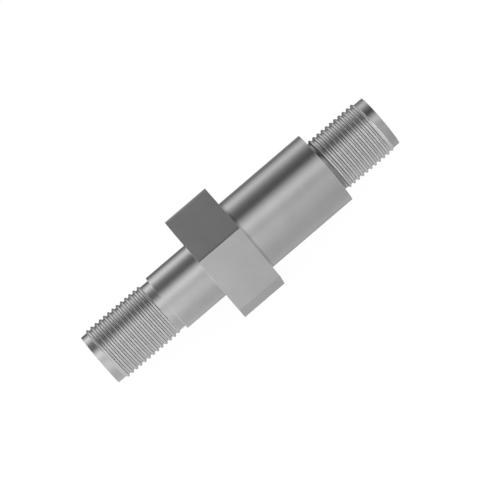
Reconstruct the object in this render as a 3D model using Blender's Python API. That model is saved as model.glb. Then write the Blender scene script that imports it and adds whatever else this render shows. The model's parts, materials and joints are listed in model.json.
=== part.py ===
"""Hex nipple: a one-piece machined body with a parallel thread and a sealing ring at each end.

Metres, +Z up. The fitting's axis is X. The origin is on that axis, half way between the two end faces, and
the hexagon has one flat facing +Z, one facing -Z and two corners on the Y axis.
"""

from math import cos, radians, sin, tan, tau

import bmesh
import bpy

MM = 0.001

# Along the axis, from the centre of the fitting
END = 60.50 * MM
LEFT_SHOULDER = -31.78 * MM
HEX_LEFT = -15.17 * MM
HEX_RIGHT = 2.05 * MM
RIGHT_SHOULDER = 36.74 * MM

# Across the axis
HEX_ACROSS_FLATS = 38.10 * MM
LEFT_SHANK_RADIUS = 21.34 * MM / 2
RIGHT_SHANK_RADIUS = 27.30 * MM / 2
CORE_RADIUS = 19.20 * MM / 2
BORE_RADIUS = 9.20 * MM / 2
BORE_CHAMFER = 0.30 * MM

# Thread: 14 turns to the inch, right hand, 60 degree flanks
PITCH = 25.4 * MM / 14
THREAD_DEPTH = 0.68 * MM
CREST_WIDTH = 0.50 * MM
BASE_WIDTH = CREST_WIDTH + 2 * THREAD_DEPTH * tan(radians(30))
LEAD_IN_TURNS = 0.12
RUN_OUT_TURNS = 0.60
LEFT_THREAD_START = -57.73 * MM
LEFT_THREAD_TURNS = 13
RIGHT_THREAD_START = 38.03 * MM
RIGHT_THREAD_TURNS = 11

# Flat sealing rings, each standing a little proud of its end face
SEAL_INNER_RADIUS = 11.20 * MM / 2
SEAL_OUTER_RADIUS = 14.00 * MM / 2
SEAL_THICKNESS = 1.50 * MM
SEAL_CHAMFER = 0.15 * MM
SEAL_PROUD = 0.10 * MM
SEAL_CLEARANCE = 0.10 * MM
GROOVE_INNER_RADIUS = SEAL_INNER_RADIUS - SEAL_CLEARANCE
GROOVE_OUTER_RADIUS = SEAL_OUTER_RADIUS + SEAL_CLEARANCE
GROOVE_DEPTH = SEAL_THICKNESS - SEAL_PROUD + SEAL_CLEARANCE

COLUMNS = 36  # around the axis; a multiple of 6, so that every corner of the hexagon falls on one
SMOOTH_ANGLE = radians(25)


def remove_everything():
    for old in list(bpy.data.objects):
        bpy.data.objects.remove(old)


def metal(name, color, roughness, metallic):
    material = bpy.data.materials.new(name)
    material.use_nodes = True
    shader = material.node_tree.nodes["Principled BSDF"]
    shader.inputs["Base Color"].default_value = (*color, 1.0)
    shader.inputs["Roughness"].default_value = roughness
    shader.inputs["Metallic"].default_value = metallic
    return material


def hexagon_radius(angle):
    """Distance from the axis to the hexagon's side, with a corner at angle 0."""
    from_flat = angle % radians(60) - radians(30)
    return HEX_ACROSS_FLATS / 2 / cos(from_flat)


def vertex(mesh, x, radius, angle):
    return mesh.verts.new((x, radius * cos(angle), radius * sin(angle)))


def loop(mesh, x, radius, shape=None):
    """A closed loop of vertices around the axis. shape, if given, is the radius for each angle."""
    angles = [tau * column / COLUMNS for column in range(COLUMNS)]
    return [vertex(mesh, x, shape(angle) if shape else radius, angle) for angle in angles]


def join(mesh, loops):
    """Bands of faces between neighbouring loops."""
    for first, second in zip(loops, loops[1:]):
        for column in range(COLUMNS):
            after = (column + 1) % COLUMNS
            mesh.faces.new((first[column], first[after], second[after], second[column]))


def fan(mesh, apex, points):
    for first, second in zip(points, points[1:]):
        mesh.faces.new((apex, first, second))


def ridge_height(turn, turns):
    """The thread rises from the core at its start and runs out into it again at the end of its last turn."""
    rise = min(1.0, turn / LEAD_IN_TURNS)
    fall = min(1.0, (turns - turn) / RUN_OUT_TURNS)
    return THREAD_DEPTH * rise * fall


def wind_thread(mesh, before, after, start, turns):
    """Winds a ridge round the core, between the loop of vertices before it and the loop after it.

    ridge[step] holds the ridge's section, foot to foot, at one column of one turn. The root between two
    turns joins a section's last point to the first point of the section one turn further on.
    """
    last = turns * COLUMNS
    ridge = []
    for step in range(last + 1):
        turn = step / COLUMNS
        centre = start + PITCH * turn
        top = CORE_RADIUS + ridge_height(turn, turns)
        section = ((-BASE_WIDTH / 2, CORE_RADIUS), (-CREST_WIDTH / 2, top), (CREST_WIDTH / 2, top),
                   (BASE_WIDTH / 2, CORE_RADIUS))
        ridge.append([vertex(mesh, centre + offset, radius, tau * turn) for offset, radius in section])

    for here, there in zip(ridge, ridge[1:]):
        for low in range(len(here) - 1):
            mesh.faces.new((here[low], here[low + 1], there[low + 1], there[low]))
    for step in range(last - COLUMNS):
        next_turn = step + COLUMNS
        mesh.faces.new((ridge[step][-1], ridge[step + 1][-1], ridge[next_turn + 1][0], ridge[next_turn][0]))

    for column in range(COLUMNS - 1):
        mesh.faces.new((before[column], before[column + 1], ridge[column + 1][0], ridge[column][0]))
    fan(mesh, before[-1], [before[0], *ridge[0], ridge[COLUMNS][0], ridge[COLUMNS - 1][0]])

    final_turn = last - COLUMNS
    for column in range(1, COLUMNS):
        here, there = ridge[final_turn + column][-1], ridge[final_turn + column + 1][-1]
        mesh.faces.new((here, there, after[(column + 1) % COLUMNS], after[column]))
    fan(mesh, ridge[final_turn + 1][-1], [ridge[final_turn][-1], *ridge[last], after[0], after[1]])


def end_face(mesh, side, rim):
    """One end, from its outer rim over the seal's groove to the bore. side is -1 at the left, 1 at the right."""
    face = side * END
    floor = side * (END - GROOVE_DEPTH)
    mouth = loop(mesh, side * (END - BORE_CHAMFER), BORE_RADIUS)
    join(mesh, [
        rim,
        loop(mesh, face, GROOVE_OUTER_RADIUS),
        loop(mesh, floor, GROOVE_OUTER_RADIUS),
        loop(mesh, floor, GROOVE_INNER_RADIUS),
        loop(mesh, face, GROOVE_INNER_RADIUS),
        loop(mesh, face, BORE_RADIUS + BORE_CHAMFER),
        mouth,
    ])
    return mouth


def finish(mesh, name, material):
    """Turns the mesh into a smooth-shaded object with its faces pointing out."""
    bmesh.ops.recalc_face_normals(mesh, faces=mesh.faces)
    data = bpy.data.meshes.new(name)
    mesh.to_mesh(data)
    mesh.free()
    data.materials.append(material)
    data.shade_smooth()
    data.set_sharp_from_angle(angle=SMOOTH_ANGLE)
    piece = bpy.data.objects.new(name, data)
    bpy.context.scene.collection.objects.link(piece)
    return piece


def make_body(material):
    mesh = bmesh.new()
    left_rim = loop(mesh, -END, CORE_RADIUS)
    left_relief = loop(mesh, LEFT_SHOULDER, CORE_RADIUS)
    right_relief = loop(mesh, RIGHT_SHOULDER, CORE_RADIUS)
    right_rim = loop(mesh, END, CORE_RADIUS)

    wind_thread(mesh, left_rim, left_relief, LEFT_THREAD_START, LEFT_THREAD_TURNS)
    join(mesh, [
        left_relief,
        loop(mesh, LEFT_SHOULDER, LEFT_SHANK_RADIUS),
        loop(mesh, HEX_LEFT, LEFT_SHANK_RADIUS),
        loop(mesh, HEX_LEFT, None, hexagon_radius),
        loop(mesh, HEX_RIGHT, None, hexagon_radius),
        loop(mesh, HEX_RIGHT, RIGHT_SHANK_RADIUS),
        loop(mesh, RIGHT_SHOULDER, RIGHT_SHANK_RADIUS),
        right_relief,
    ])
    wind_thread(mesh, right_relief, right_rim, RIGHT_THREAD_START, RIGHT_THREAD_TURNS)
    join(mesh, [end_face(mesh, -1, left_rim), end_face(mesh, 1, right_rim)])
    return finish(mesh, "nipple_body", material)


def make_seal(name, side, material):
    """A flat rubber ring, modelled about its own centre and placed in the groove of one end."""
    half = SEAL_THICKNESS / 2
    outline = (
        (-half, SEAL_INNER_RADIUS + SEAL_CHAMFER),
        (-half, SEAL_OUTER_RADIUS - SEAL_CHAMFER),
        (SEAL_CHAMFER - half, SEAL_OUTER_RADIUS),
        (half - SEAL_CHAMFER, SEAL_OUTER_RADIUS),
        (half, SEAL_OUTER_RADIUS - SEAL_CHAMFER),
        (half, SEAL_INNER_RADIUS + SEAL_CHAMFER),
        (half - SEAL_CHAMFER, SEAL_INNER_RADIUS),
        (SEAL_CHAMFER - half, SEAL_INNER_RADIUS),
    )
    mesh = bmesh.new()
    section = [loop(mesh, x, radius) for x, radius in outline]
    join(mesh, [*section, section[0]])
    ring = finish(mesh, name, material)
    ring.location.x = side * (END + SEAL_PROUD - half)
    return ring


remove_everything()
make_body(metal("machined_steel", (0.42, 0.42, 0.42), 0.28, 1.0))
seal_rubber = metal("seal_rubber", (0.02, 0.02, 0.02), 0.55, 0.0)
make_seal("left_face_seal", -1, seal_rubber)
make_seal("right_face_seal", 1, seal_rubber)
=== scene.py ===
"""Looks for the hex nipple: a finely modelled steel body and two rubber seals.

The fitting lies on one flat of its hexagon, on a pale floor in soft studio light. Metres, in the frame of
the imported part: the fitting's axis is X.
"""

import json
from math import cos, pi, radians, sin, tan

import bmesh
import bpy
from mathutils import Matrix, Vector


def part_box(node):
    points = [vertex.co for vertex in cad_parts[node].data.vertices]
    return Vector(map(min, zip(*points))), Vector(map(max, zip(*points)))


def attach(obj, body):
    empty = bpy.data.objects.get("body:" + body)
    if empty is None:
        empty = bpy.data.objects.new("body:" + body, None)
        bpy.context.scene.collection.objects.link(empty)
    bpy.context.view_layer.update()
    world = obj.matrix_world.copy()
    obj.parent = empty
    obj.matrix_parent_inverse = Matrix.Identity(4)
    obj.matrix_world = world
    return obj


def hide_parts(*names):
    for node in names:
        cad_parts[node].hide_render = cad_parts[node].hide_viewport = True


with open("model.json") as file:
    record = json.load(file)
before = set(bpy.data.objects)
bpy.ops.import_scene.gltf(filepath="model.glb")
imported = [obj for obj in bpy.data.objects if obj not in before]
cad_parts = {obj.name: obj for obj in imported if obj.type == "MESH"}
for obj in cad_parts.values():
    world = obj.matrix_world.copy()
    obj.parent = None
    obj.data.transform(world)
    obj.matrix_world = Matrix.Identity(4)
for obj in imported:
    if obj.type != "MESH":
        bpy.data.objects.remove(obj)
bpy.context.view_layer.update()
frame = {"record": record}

MM = 0.001


def mount_x(name):
    """Where a mount's face lies along the axis."""
    return next(m["pos_m"][0] for m in frame["record"]["mounts"] if m["name"] == name)


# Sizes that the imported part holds
BODY_LOW, BODY_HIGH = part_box("nipple_body")
END = BODY_HIGH.x
RIGHT_SHOULDER = mount_x("right_shoulder")
HEX_LEFT = mount_x("hexagon_left_face")
HALF_FLATS = BODY_HIGH.z
SIDE_DEGREES = 60  # of one side of the hexagon, seen from the axis
HALF_SIDE = radians(SIDE_DEGREES / 2)

# Sizes inside its outline, as the part has them
LEFT_SHOULDER = -31.78 * MM
HEX_RIGHT = 2.05 * MM
LEFT_SHANK_RADIUS = 10.67 * MM
RIGHT_SHANK_RADIUS = 13.65 * MM
CORE_RADIUS = 9.60 * MM
BORE_RADIUS = 4.60 * MM
BORE_CHAMFER = 0.30 * MM
GROOVE_INNER_RADIUS = 5.50 * MM
GROOVE_OUTER_RADIUS = 7.10 * MM
GROOVE_DEPTH = 1.50 * MM

# Thread: 14 turns to the inch, right hand, 60 degree flanks, with its crests and roots rounded over
PITCH = 25.4 * MM / 14
THREAD_DEPTH = 0.68 * MM
FLANK_ANGLE = radians(30)  # of one flank, from square to the axis
CREST_WIDTH = 0.50 * MM
BASE_WIDTH = CREST_WIDTH + 2 * THREAD_DEPTH * tan(FLANK_ANGLE)
ROOT_MARGIN = 0.20 * MM  # of plain core that goes with the ridge on each side
CREST_ROUND = 0.30 * MM
ROOT_ROUND = 0.30 * MM
LEAD_IN_TURNS = 0.12
RUN_OUT_TURNS = 0.60
LEFT_THREAD_START, LEFT_THREAD_TURNS = -57.73 * MM, 13
RIGHT_THREAD_START, RIGHT_THREAD_TURNS = 38.03 * MM, 11

# Edges as a deburring tool leaves them. A reach runs from an edge to the next loop of vertices.
EDGE_ROUND = 0.05 * MM
EDGE_REACH = 4 * EDGE_ROUND
END_EDGE_ROUND = EDGE_ROUND / 2  # of the groove and the bore
HEX_CORNER_ROUND = 0.25 * MM
HEX_EDGE_CHAMFER = 0.03 * MM
HEX_EDGE_REACH = 3 * HEX_EDGE_CHAMFER
ROUND_STEPS = 3
THREAD_ROUND_STEPS = 3

COLUMN_STEP = 2.5  # degrees between columns of vertices, with more of them round the hexagon's corners
SMOOTH_ANGLE = radians(32)

# Camera: above and in front, a little towards the left end, with the fitting's axis sloping up across the
# frame. Lens and sensor are in millimetres.
CAMERA_ELEVATION = radians(52.04)
CAMERA_DISTANCE = 1073.5 * MM
CAMERA_X = -19.55 * MM
CAMERA_LENS = 245.3
SENSOR_WIDTH = 36.0
CLIP_START, CLIP_END = 0.05, 20.0
AXIS_SLOPE = radians(40.5)
AIM_X = -0.02 * MM
AIM_BELOW_AXIS = -0.127 * MM

TO_CAMERA = Vector((0, -cos(CAMERA_ELEVATION), sin(CAMERA_ELEVATION)))
BELOW_AXIS = Vector((0, -sin(CAMERA_ELEVATION), -cos(CAMERA_ELEVATION)))


# ---------------------------------------------------------------- camera, floor and light

def make_camera():
    data = bpy.data.cameras.new("camera")
    data.sensor_width = SENSOR_WIDTH
    data.lens = CAMERA_LENS
    data.clip_start, data.clip_end = CLIP_START, CLIP_END
    camera = bpy.data.objects.new("camera", data)
    bpy.context.scene.collection.objects.link(camera)

    place = Vector((CAMERA_X, 0, 0)) + CAMERA_DISTANCE * TO_CAMERA
    aim = Vector((AIM_X, 0, 0)) + AIM_BELOW_AXIS * BELOW_AXIS
    back = (place - aim).normalized()
    along = (Vector((1, 0, 0)) - back.x * back).normalized()
    across = along.cross(back)  # down the frame from the axis, square to it
    right = cos(AXIS_SLOPE) * along + sin(AXIS_SLOPE) * across
    up = back.cross(right)
    camera.matrix_world = Matrix.Translation(place) @ Matrix((right, up, back)).transposed().to_4x4()
    bpy.context.scene.camera = camera


WHITE = (1, 1, 1, 1)
MIX_FIRST, MIX_SECOND, MIX_RESULT = 6, 7, 2  # the colour sockets of a Mix node
SOFT, GRITTY = (3.0, 0.5), (4.0, 0.6)  # detail and roughness of a noise texture


class Nodes:
    """A short way to write a node tree: add(type, inputs, settings) returns the new node."""

    def __init__(self, tree):
        self.tree = tree
        tree.nodes.clear()

    def add(self, kind, inputs=None, **settings):
        node = self.tree.nodes.new("ShaderNode" + kind)
        for name, value in settings.items():
            setattr(node, name, value)
        for key, value in (inputs or {}).items():
            if isinstance(value, bpy.types.NodeSocket):
                self.tree.links.new(value, node.inputs[key])
            else:
                node.inputs[key].default_value = value
        return node

    def math(self, operation, first, second=0.0):
        return self.add("Math", {0: first, 1: second}, operation=operation).outputs[0]

    def dot(self, vector, axis):
        node = self.add("VectorMath", {0: vector, 1: tuple(axis)}, operation="DOT_PRODUCT")
        return node.outputs["Value"]

    def scale(self, vector, factor):
        return self.add("VectorMath", {0: vector, "Scale": factor}, operation="SCALE").outputs[0]

    def spread(self, value, low, high, first=0.0, last=1.0):
        """Takes low to first and high to last, evenly in between, and holds both ends beyond them."""
        limits = {"Value": value, "From Min": low, "From Max": high, "To Min": first, "To Max": last}
        return self.add("MapRange", limits).outputs[0]

    def mix(self, factor, first, second):
        colors = {"Factor": factor, MIX_FIRST: first, MIX_SECOND: second}
        return self.add("Mix", colors, data_type="RGBA").outputs[MIX_RESULT]

    def ramp(self, value, stops):
        """stops: (position, grey level) pairs, at least two, from the lowest position up."""
        node = self.add("ValToRGB", {0: value})
        elements = node.color_ramp.elements
        for position, _ in stops[len(elements):]:
            elements.new(position)
        for element, (position, grey) in zip(elements, stops):
            element.position = position
            element.color = (grey, grey, grey, 1.0)
        return node.outputs["Color"]

    def noise(self, place, scale, grain):
        detail, roughness = grain
        inputs = {"Vector": place, "Scale": scale, "Detail": detail, "Roughness": roughness}
        return self.add("TexNoise", inputs).outputs["Fac"]

    def bump(self, height, strength, depth):
        return self.add("Bump", {"Height": height, "Strength": strength, "Distance": depth}).outputs[0]


def new_material(name):
    material = bpy.data.materials.new(name)
    material.use_nodes = True
    return material, Nodes(material.node_tree)


# The studio: brightness of its lights and of the dark gaps between them, by the angle round the fitting's
# axis in degrees. 0 is the camera's side, positive angles run down and under the fitting, and negative ones
# run up, over the top and down behind. A direction's lean is the part of it that runs along the axis. One
# that leans a little to the left end meets the left level, one that leans a little to the right end the right
# level, and one that runs mostly along the axis the ends' level. Towards the camera, only the threads' flanks
# and the rounded edges mirror the ends.
STUDIO = (
    # angle, left, right, ends
    (-180, 0.20, 0.35, 0.25),  # the dark wall behind
    (-150, 0.20, 0.35, 0.40),
    (-140, 0.25, 0.30, 1.00),
    (-130, 0.75, 0.65, 1.30),  # a soft box above and behind
    (-110, 2.00, 1.25, 1.15),
    (-100, 1.95, 1.10, 1.00),
    (-85, 1.00, 0.55, 0.75),
    (-75, 0.50, 0.30, 0.45),  # a gap overhead
    (-60, 0.40, 0.10, 0.30),
    (-50, 0.40, 0.15, 0.60),
    (-40, 0.85, 0.65, 0.85),
    (-25, 1.95, 1.25, 1.10),  # the main soft box, over the camera
    (-15, 2.20, 1.25, 1.20),
    (0, 1.65, 0.90, 1.15),  # a dimmer stretch round the camera
    (10, 1.60, 0.80, 1.10),
    (25, 1.85, 0.90, 1.10),  # a reflector in front
    (45, 1.90, 0.80, 1.10),
    (75, 1.35, 0.80, 1.15),
    (105, 1.20, 0.85, 1.60),  # a reflector below
    (130, 1.15, 0.90, 1.60),
    (145, 1.00, 0.80, 1.10),
    (155, 0.70, 0.55, 0.90),
    (180, 0.60, 0.40, 0.45),
)
ANGLE, LEFT, RIGHT, ENDS = range(4)
BRIGHTEST = 2.6  # above every level of the table, and scales them to 0..1
LEFT_LEAN, RIGHT_LEAN = -0.030, 0.028  # from these on, the left and the right level hold in full
NEAR_LEAN, FAR_LEAN = 0.13, 0.26  # between these the sides give way to the ends
LEFT_END_LEVEL, RIGHT_END_LEVEL = 1.10, 1.00

# A strip light stands at each end, where a line of sight runs that both flanks of a groove have mirrored
LEFT_STRIP_LEVEL, RIGHT_STRIP_LEVEL = 1.3, 2.4
STRIP_LEAN = 0.866  # of its middle, on the camera's side
STRIP_BEND = 0.38  # how fast that lean falls off round the axis
STRIP_EDGES = 0.05, 0.20  # in lean from its middle: it starts to fade at the first and is gone at the second
STRIP_FADE = radians(70), radians(110)  # the same, in angle round the axis


def make_world():
    world = bpy.data.worlds.new("studio")
    world.use_nodes = True
    bpy.context.scene.world = world
    nodes = Nodes(world.node_tree)
    direction = nodes.add("TexCoord").outputs["Generated"]
    angle = nodes.math("ARCTAN2", nodes.dot(direction, BELOW_AXIS), nodes.dot(direction, TO_CAMERA))
    around = nodes.spread(angle, -pi, pi)

    def bands(column):
        return nodes.ramp(around, [((row[ANGLE] + 180) / 360, row[column] / BRIGHTEST) for row in STUDIO])

    lean = nodes.dot(direction, (1, 0, 0))
    tilt = nodes.math("ABSOLUTE", lean)
    near = nodes.mix(nodes.spread(lean, LEFT_LEAN, RIGHT_LEAN), bands(LEFT), bands(RIGHT))

    bend = nodes.math("COSINE", nodes.math("MULTIPLY", angle, STRIP_BEND))
    middle = nodes.math("MULTIPLY", bend, STRIP_LEAN)
    aside = nodes.math("ABSOLUTE", nodes.math("SUBTRACT", tilt, middle))
    end_level = nodes.spread(lean, -FAR_LEAN, FAR_LEAN, LEFT_END_LEVEL, RIGHT_END_LEVEL)
    strip_level = nodes.spread(lean, -FAR_LEAN, FAR_LEAN, LEFT_STRIP_LEVEL, RIGHT_STRIP_LEVEL)
    strip = nodes.math("MULTIPLY", strip_level, nodes.spread(aside, *STRIP_EDGES, 1.0, 0.0))
    fade = nodes.spread(nodes.math("ABSOLUTE", angle), *STRIP_FADE, 1.0, 0.0)
    level = nodes.math("ADD", end_level, nodes.math("MULTIPLY", strip, fade))
    far = nodes.scale(bands(ENDS), level)

    both = nodes.mix(nodes.spread(tilt, NEAR_LEAN, FAR_LEAN), near, far)
    light = nodes.add("Background", {"Color": both, "Strength": BRIGHTEST})
    white = nodes.add("Background", {"Color": WHITE, "Strength": 1.0})
    seen = nodes.add("LightPath").outputs["Is Camera Ray"]
    shown = nodes.add("MixShader", {0: seen, 1: light.outputs[0], 2: white.outputs[0]})
    nodes.add("OutputWorld", {"Surface": shown.outputs[0]})


FLOOR_HALF_WIDTH = 0.9
FLOOR_GLOW = 0.965
FLOOR_TONE = 0.04
FLOOR_GAP = 0.05 * MM  # so that the floor and the flat on it are not one surface


def make_floor():
    """A white light table: it glows, and takes only a faint shadow. The steel does not mirror it."""
    mesh = bpy.data.meshes.new("floor")
    half, height = FLOOR_HALF_WIDTH, BODY_LOW.z - FLOOR_GAP
    corners = ((-half, -half), (half, -half), (half, half), (-half, half))
    mesh.from_pydata([(x, y, height) for x, y in corners], [], [(0, 1, 2, 3)])
    floor = bpy.data.objects.new("floor", mesh)
    bpy.context.scene.collection.objects.link(floor)
    floor.visible_glossy = False
    material, nodes = new_material("pale_floor")
    glow = nodes.add("Emission", {"Color": WHITE, "Strength": FLOOR_GLOW})
    tone = nodes.add("BsdfDiffuse", {"Color": (FLOOR_TONE, FLOOR_TONE, FLOOR_TONE, 1)})
    both = nodes.add("AddShader", {0: glow.outputs[0], 1: tone.outputs[0]})
    nodes.add("OutputMaterial", {"Surface": both.outputs[0]})
    mesh.materials.append(material)


# ---------------------------------------------------------------- materials

STEEL_COLOR = 0.34
DRAWN_COLOR = 0.325
THREAD_COLOR = 0.36
STEEL_ROUGHNESS = 0.19
THREAD_ROUGHNESS = STEEL_ROUGHNESS + 0.02
NOISE_LOW, NOISE_HIGH = 0.30, 0.70  # most of a noise texture lies between these

# Cloudy differences in the steel's tone, a few millimetres across
CLOUD_SCALE = 120.0
CLOUD_TONE = 0.04

# Tool marks per metre along each axis: rings round the axis on what is turned, lines along it on the hexagon
TURNED_MARKS = (9000.0, 60.0, 60.0)
DRAWN_MARKS = (90.0, 5000.0, 5000.0)
THREAD_MARKS = (9000.0, 150.0, 150.0)
MARK_STRENGTH = 0.25
THREAD_MARK_STRENGTH = 0.15
MARK_DEPTH = 0.004 * MM
MARK_ROUGHNESS = 0.03

# Lines of painted shade round the axis, just right of the hexagon's right face and of the right shoulder,
# where shade falls: their middle, half their width, and how much of the steel's tone is left
PAINTED_SHADE_LINES = (
    (HEX_RIGHT + 0.45 * MM, 0.60 * MM, 0.80),
    (RIGHT_SHOULDER + 0.70 * MM, 0.80 * MM, 0.56),
)


def steel(name, mark_scale, mark_strength, roughness, color):
    """Bare machined steel. Its tool marks run along the axes in which mark_scale is small."""
    material, nodes = new_material(name)
    place = nodes.add("TexCoord").outputs["Object"]
    cloud = nodes.noise(place, CLOUD_SCALE, SOFT)
    clouds = ((NOISE_LOW, color * (1 - CLOUD_TONE)), (NOISE_HIGH, color * (1 + CLOUD_TONE)))
    tone = nodes.ramp(cloud, clouds)

    x = nodes.add("SeparateXYZ", {0: place}).outputs["X"]
    # painted shade: the steel's tone is darkened in a line beside each of these two walls
    for middle, half_width, shaded_share in PAINTED_SHADE_LINES:
        aside = nodes.math("ABSOLUTE", nodes.math("SUBTRACT", x, middle))
        tone = nodes.scale(tone, nodes.spread(aside, half_width / 2, half_width, shaded_share))

    stretched = nodes.add("Mapping", {"Vector": place, "Scale": mark_scale})
    marks = nodes.noise(stretched.outputs[0], 1.0, GRITTY)
    smooth, rough = roughness - MARK_ROUGHNESS, roughness + MARK_ROUGHNESS
    shader = nodes.add("BsdfPrincipled", {
        "Base Color": tone, "Metallic": 1.0,
        "Roughness": nodes.spread(marks, NOISE_LOW, NOISE_HIGH, smooth, rough),
        "Normal": nodes.bump(marks, mark_strength, MARK_DEPTH),
    })
    nodes.add("OutputMaterial", {"Surface": shader.outputs[0]})
    return material


# Rubber with a fine dust on it
DUST_SCALE = 900.0
DUST_LOW, DUST_HIGH = 0.35, 0.75
RUBBER_COLOR, DUST_COLOR = 0.012, 0.030
RUBBER_ROUGHNESS, DUST_ROUGHNESS = 0.42, 0.58
DUST_STRENGTH = 0.15
DUST_DEPTH = 0.02 * MM


def rubber():
    material, nodes = new_material("seal_rubber")
    place = nodes.add("TexCoord").outputs["Object"]
    dust = nodes.noise(place, DUST_SCALE, GRITTY)
    shader = nodes.add("BsdfPrincipled", {
        "Base Color": nodes.ramp(dust, ((DUST_LOW, RUBBER_COLOR), (DUST_HIGH, DUST_COLOR))),
        "Roughness": nodes.spread(dust, NOISE_LOW, NOISE_HIGH, RUBBER_ROUGHNESS, DUST_ROUGHNESS),
        "Normal": nodes.bump(dust, DUST_STRENGTH, DUST_DEPTH),
    })
    nodes.add("OutputMaterial", {"Surface": shader.outputs[0]})
    return material


# ---------------------------------------------------------------- body

def column_angles():
    """Angles of the columns of vertices round the axis, in degrees, close together at the rounded corners."""
    tangent = HEX_CORNER_ROUND * tan(HALF_SIDE)
    corner = HALF_FLATS / cos(HALF_SIDE)
    half_width = tangent * cos(HALF_SIDE) / corner * 180 / pi
    near = [half_width * part for part in (-1, -0.5, 0.5, 1)]
    even = [COLUMN_STEP * step for step in range(1, round(SIDE_DEGREES / COLUMN_STEP))]
    sides = range(360 // SIDE_DEGREES)
    return sorted((SIDE_DEGREES * side + degrees) % 360 for side in sides for degrees in (*near, *even))


COLUMNS = column_angles()


def hexagon_radius(degrees, inset):
    """Distance from the axis to the side of a hexagon with rounded corners, inset from the body's flats."""
    from_flat = degrees % SIDE_DEGREES - SIDE_DEGREES / 2
    flat = (HALF_FLATS - inset) / cos(radians(from_flat))
    centre = (HALF_FLATS - inset - HEX_CORNER_ROUND) / cos(HALF_SIDE)
    from_corner = radians(SIDE_DEGREES / 2 - abs(from_flat))
    aside = centre * sin(from_corner)
    if aside >= HEX_CORNER_ROUND:
        return flat
    arc = centre * cos(from_corner) + (HEX_CORNER_ROUND ** 2 - aside ** 2) ** 0.5
    return min(flat, arc)


def fillet(points, rounds, steps):
    """An outline with its corners rounded. points are (x, r), and rounds gives each point's radius or 0."""
    made = []
    for index, (point, size) in enumerate(zip(points, rounds)):
        if not size:
            made.append(point)
            continue
        here, before, after = Vector(point), Vector(points[index - 1]), Vector(points[index + 1])
        back, ahead = (before - here).normalized(), (after - here).normalized()
        half = back.angle(ahead) / 2
        reach = size / tan(half)
        centre = here + (back + ahead).normalized() * size / sin(half)
        start, stop = here + back * reach - centre, here + ahead * reach - centre
        turn = start.angle_signed(stop)
        for step in range(steps + 1):
            around = Matrix.Rotation(-turn * step / steps, 2)
            made.append(tuple(centre + around @ start))
    return made


class Skin:
    """A surface built from closed loops of vertices round the X axis."""

    def __init__(self):
        self.mesh = bmesh.new()
        self.material = 0

    def vertex(self, x, radius, degrees):
        angle = radians(degrees)
        return self.mesh.verts.new((x, radius * cos(angle), radius * sin(angle)))

    def loop(self, x, radius, shape=None):
        return [self.vertex(x, shape(degrees) if shape else radius, degrees) for degrees in COLUMNS]

    def loops(self, outline):
        return [self.loop(x, radius) for x, radius in outline]

    def face(self, *corners):
        self.mesh.faces.new(corners).material_index = self.material

    def join(self, loops):
        count = len(COLUMNS)
        for first, second in zip(loops, loops[1:]):
            for column in range(count):
                after = (column + 1) % count
                self.face(first[column], first[after], second[after], second[column])

    def fan(self, apex, points):
        for first, second in zip(points, points[1:]):
            self.face(apex, first, second)


TURNED, DRAWN, THREADED = range(3)  # the order of the body's materials


def thread_section():
    """The ridge's section from foot to foot: (offset along the axis, height above the core)."""
    points = (
        (-BASE_WIDTH / 2 - ROOT_MARGIN, 0), (-BASE_WIDTH / 2, 0), (-CREST_WIDTH / 2, THREAD_DEPTH),
        (CREST_WIDTH / 2, THREAD_DEPTH), (BASE_WIDTH / 2, 0), (BASE_WIDTH / 2 + ROOT_MARGIN, 0),
    )
    return fillet(points, (0, ROOT_ROUND, CREST_ROUND, CREST_ROUND, ROOT_ROUND, 0), THREAD_ROUND_STEPS)


def wind_thread(skin, before, after, start, turns):
    """Winds the ridge round the core, between the loop of vertices before it and the loop after it.

    ridge[step] is the ridge's section at one column of one turn. The root between two turns joins a
    section's last point to the first point of the section one turn further on. The core before the first
    turn and after the last one is plain turned steel.
    """
    skin.material = THREADED
    section = thread_section()
    count = len(COLUMNS)
    last = turns * count
    ridge = []
    for step in range(last + 1):
        degrees = COLUMNS[step % count]
        turn = step // count + (degrees - COLUMNS[0]) / 360
        rise = min(1.0, turn / LEAD_IN_TURNS)
        fall = min(1.0, max(0.0, (turns - turn) / RUN_OUT_TURNS))
        centre = start + PITCH * turn
        ridge.append([skin.vertex(centre + offset, CORE_RADIUS + height * rise * fall, degrees)
                      for offset, height in section])

    for here, there in zip(ridge, ridge[1:]):
        for low in range(len(section) - 1):
            skin.face(here[low], here[low + 1], there[low + 1], there[low])
    for step in range(last - count):
        further = step + count
        skin.face(ridge[step][-1], ridge[step + 1][-1], ridge[further + 1][0], ridge[further][0])

    skin.material = TURNED
    for column in range(count - 1):
        skin.face(before[column], before[column + 1], ridge[column + 1][0], ridge[column][0])
    skin.fan(before[-1], [before[0], *ridge[0], ridge[count][0], ridge[count - 1][0]])

    final_turn = last - count
    for column in range(1, count):
        here, there = ridge[final_turn + column][-1], ridge[final_turn + column + 1][-1]
        skin.face(here, there, after[(column + 1) % count], after[column])
    skin.fan(ridge[final_turn + 1][-1], [ridge[final_turn][-1], *ridge[last], after[0], after[1]])


def end_loops(skin, side):
    """One end, from the pilot's side over the rim and the seal's groove to the bore, as loops of vertices."""
    outline = (
        (-EDGE_REACH, CORE_RADIUS), (0, CORE_RADIUS),
        (0, GROOVE_OUTER_RADIUS), (-GROOVE_DEPTH, GROOVE_OUTER_RADIUS),
        (-GROOVE_DEPTH, GROOVE_INNER_RADIUS), (0, GROOVE_INNER_RADIUS),
        (0, BORE_RADIUS + BORE_CHAMFER), (-BORE_CHAMFER, BORE_RADIUS), (-2 * BORE_CHAMFER, BORE_RADIUS),
    )
    rounds = (0, EDGE_ROUND, *[END_EDGE_ROUND] * 6, 0)
    outline = fillet(outline, rounds, ROUND_STEPS)
    return skin.loops([(side * (END + x), radius) for x, radius in outline])


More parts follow.
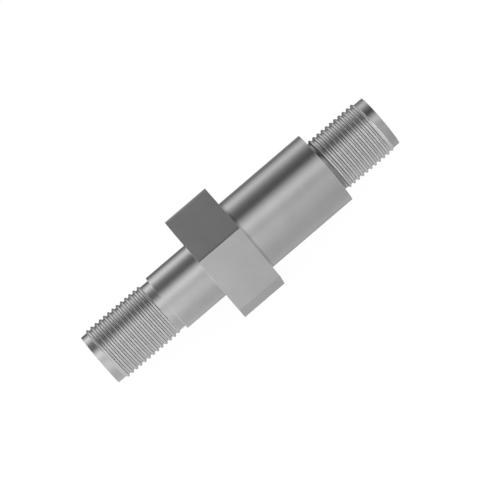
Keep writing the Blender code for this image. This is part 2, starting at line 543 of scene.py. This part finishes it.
def make_body(materials):
    skin = Skin()
    left = end_loops(skin, -1)
    right = end_loops(skin, 1)

    # From the left thread's relief to the hexagon
    left_steps = skin.loops(fillet(
        ((LEFT_SHOULDER - EDGE_REACH, CORE_RADIUS), (LEFT_SHOULDER, CORE_RADIUS),
         (LEFT_SHOULDER, LEFT_SHANK_RADIUS), (LEFT_SHOULDER + EDGE_REACH, LEFT_SHANK_RADIUS),
         (HEX_LEFT - EDGE_REACH, LEFT_SHANK_RADIUS), (HEX_LEFT, LEFT_SHANK_RADIUS),
         (HEX_LEFT, LEFT_SHANK_RADIUS + EDGE_REACH)),
        (0, EDGE_ROUND, EDGE_ROUND, 0, 0, EDGE_ROUND, 0), ROUND_STEPS))

    # From the hexagon to the right thread
    right_steps = skin.loops(fillet(
        ((HEX_RIGHT, RIGHT_SHANK_RADIUS + EDGE_REACH), (HEX_RIGHT, RIGHT_SHANK_RADIUS),
         (HEX_RIGHT + EDGE_REACH, RIGHT_SHANK_RADIUS),
         (RIGHT_SHOULDER - EDGE_REACH, RIGHT_SHANK_RADIUS), (RIGHT_SHOULDER, RIGHT_SHANK_RADIUS),
         (RIGHT_SHOULDER, RIGHT_SHANK_RADIUS - EDGE_REACH),
         (RIGHT_SHOULDER, CORE_RADIUS), (RIGHT_SHOULDER + EDGE_REACH / 2, CORE_RADIUS)),
        (0, EDGE_ROUND, 0, 0, EDGE_ROUND, 0, EDGE_ROUND, 0), ROUND_STEPS))

    def hexagon(x, inset):
        return skin.loop(x, None, lambda degrees: hexagon_radius(degrees, inset))

    left_edge = [hexagon(HEX_LEFT, HEX_EDGE_REACH), hexagon(HEX_LEFT, HEX_EDGE_CHAMFER)]
    flats = [
        hexagon(HEX_LEFT + HEX_EDGE_CHAMFER, 0), hexagon(HEX_LEFT + HEX_EDGE_REACH, 0),
        hexagon(HEX_RIGHT - HEX_EDGE_REACH, 0), hexagon(HEX_RIGHT - HEX_EDGE_CHAMFER, 0),
    ]
    right_edge = [hexagon(HEX_RIGHT, HEX_EDGE_CHAMFER), hexagon(HEX_RIGHT, HEX_EDGE_REACH)]

    skin.material = TURNED
    skin.join(left)
    skin.join([*left_steps, *left_edge])
    skin.join([*right_edge, *right_steps])
    skin.join(right)
    skin.join([left[-1], right[-1]])
    skin.material = DRAWN
    skin.join([left_edge[-1], *flats, right_edge[0]])
    wind_thread(skin, left[0], left_steps[0], LEFT_THREAD_START, LEFT_THREAD_TURNS)
    wind_thread(skin, right_steps[-1], right[0], RIGHT_THREAD_START, RIGHT_THREAD_TURNS)
    finish_piece(skin, "steel_body", materials, "nipple_body")


def finish_piece(skin, name, materials, node):
    """Turns the skin into a smooth-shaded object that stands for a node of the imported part."""
    bmesh.ops.recalc_face_normals(skin.mesh, faces=skin.mesh.faces)
    data = bpy.data.meshes.new(name)
    skin.mesh.to_mesh(data)
    skin.mesh.free()
    for material in materials:
        data.materials.append(material)
    data.shade_smooth()
    data.set_sharp_from_angle(angle=SMOOTH_ANGLE)
    piece = bpy.data.objects.new(name, data)
    bpy.context.scene.collection.objects.link(piece)
    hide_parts(node)
    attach(piece, "root")


# ---------------------------------------------------------------- seals

SEAL_WIDTH = 1.40 * MM
SEAL_EDGE_ROUND = 0.18 * MM


def make_seal(node, material):
    """A flat rubber ring with rounded edges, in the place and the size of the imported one."""
    low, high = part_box(node)
    outer = high.y
    inner = outer - SEAL_WIDTH
    middle = (inner + outer) / 2
    outline = (
        (low.x, middle), (low.x, outer), (high.x, outer), (high.x, middle), (high.x, inner), (low.x, inner),
        (low.x, middle),
    )
    rounds = (0, SEAL_EDGE_ROUND, SEAL_EDGE_ROUND, 0, SEAL_EDGE_ROUND, SEAL_EDGE_ROUND, 0)
    section = fillet(outline, rounds, ROUND_STEPS)
    skin = Skin()
    loops = skin.loops(section[:-1])
    skin.join([*loops, loops[0]])
    finish_piece(skin, node + "_ring", [material], node)


make_camera()
make_world()
make_floor()
make_body([
    steel("turned_steel", TURNED_MARKS, MARK_STRENGTH, STEEL_ROUGHNESS, STEEL_COLOR),
    steel("drawn_steel", DRAWN_MARKS, MARK_STRENGTH, STEEL_ROUGHNESS, DRAWN_COLOR),
    steel("threaded_steel", THREAD_MARKS, THREAD_MARK_STRENGTH, THREAD_ROUGHNESS, THREAD_COLOR),
])
seal_rubber = rubber()
make_seal("left_face_seal", seal_rubber)
make_seal("right_face_seal", seal_rubber)

bpy.context.scene.view_settings.view_transform = "Standard"
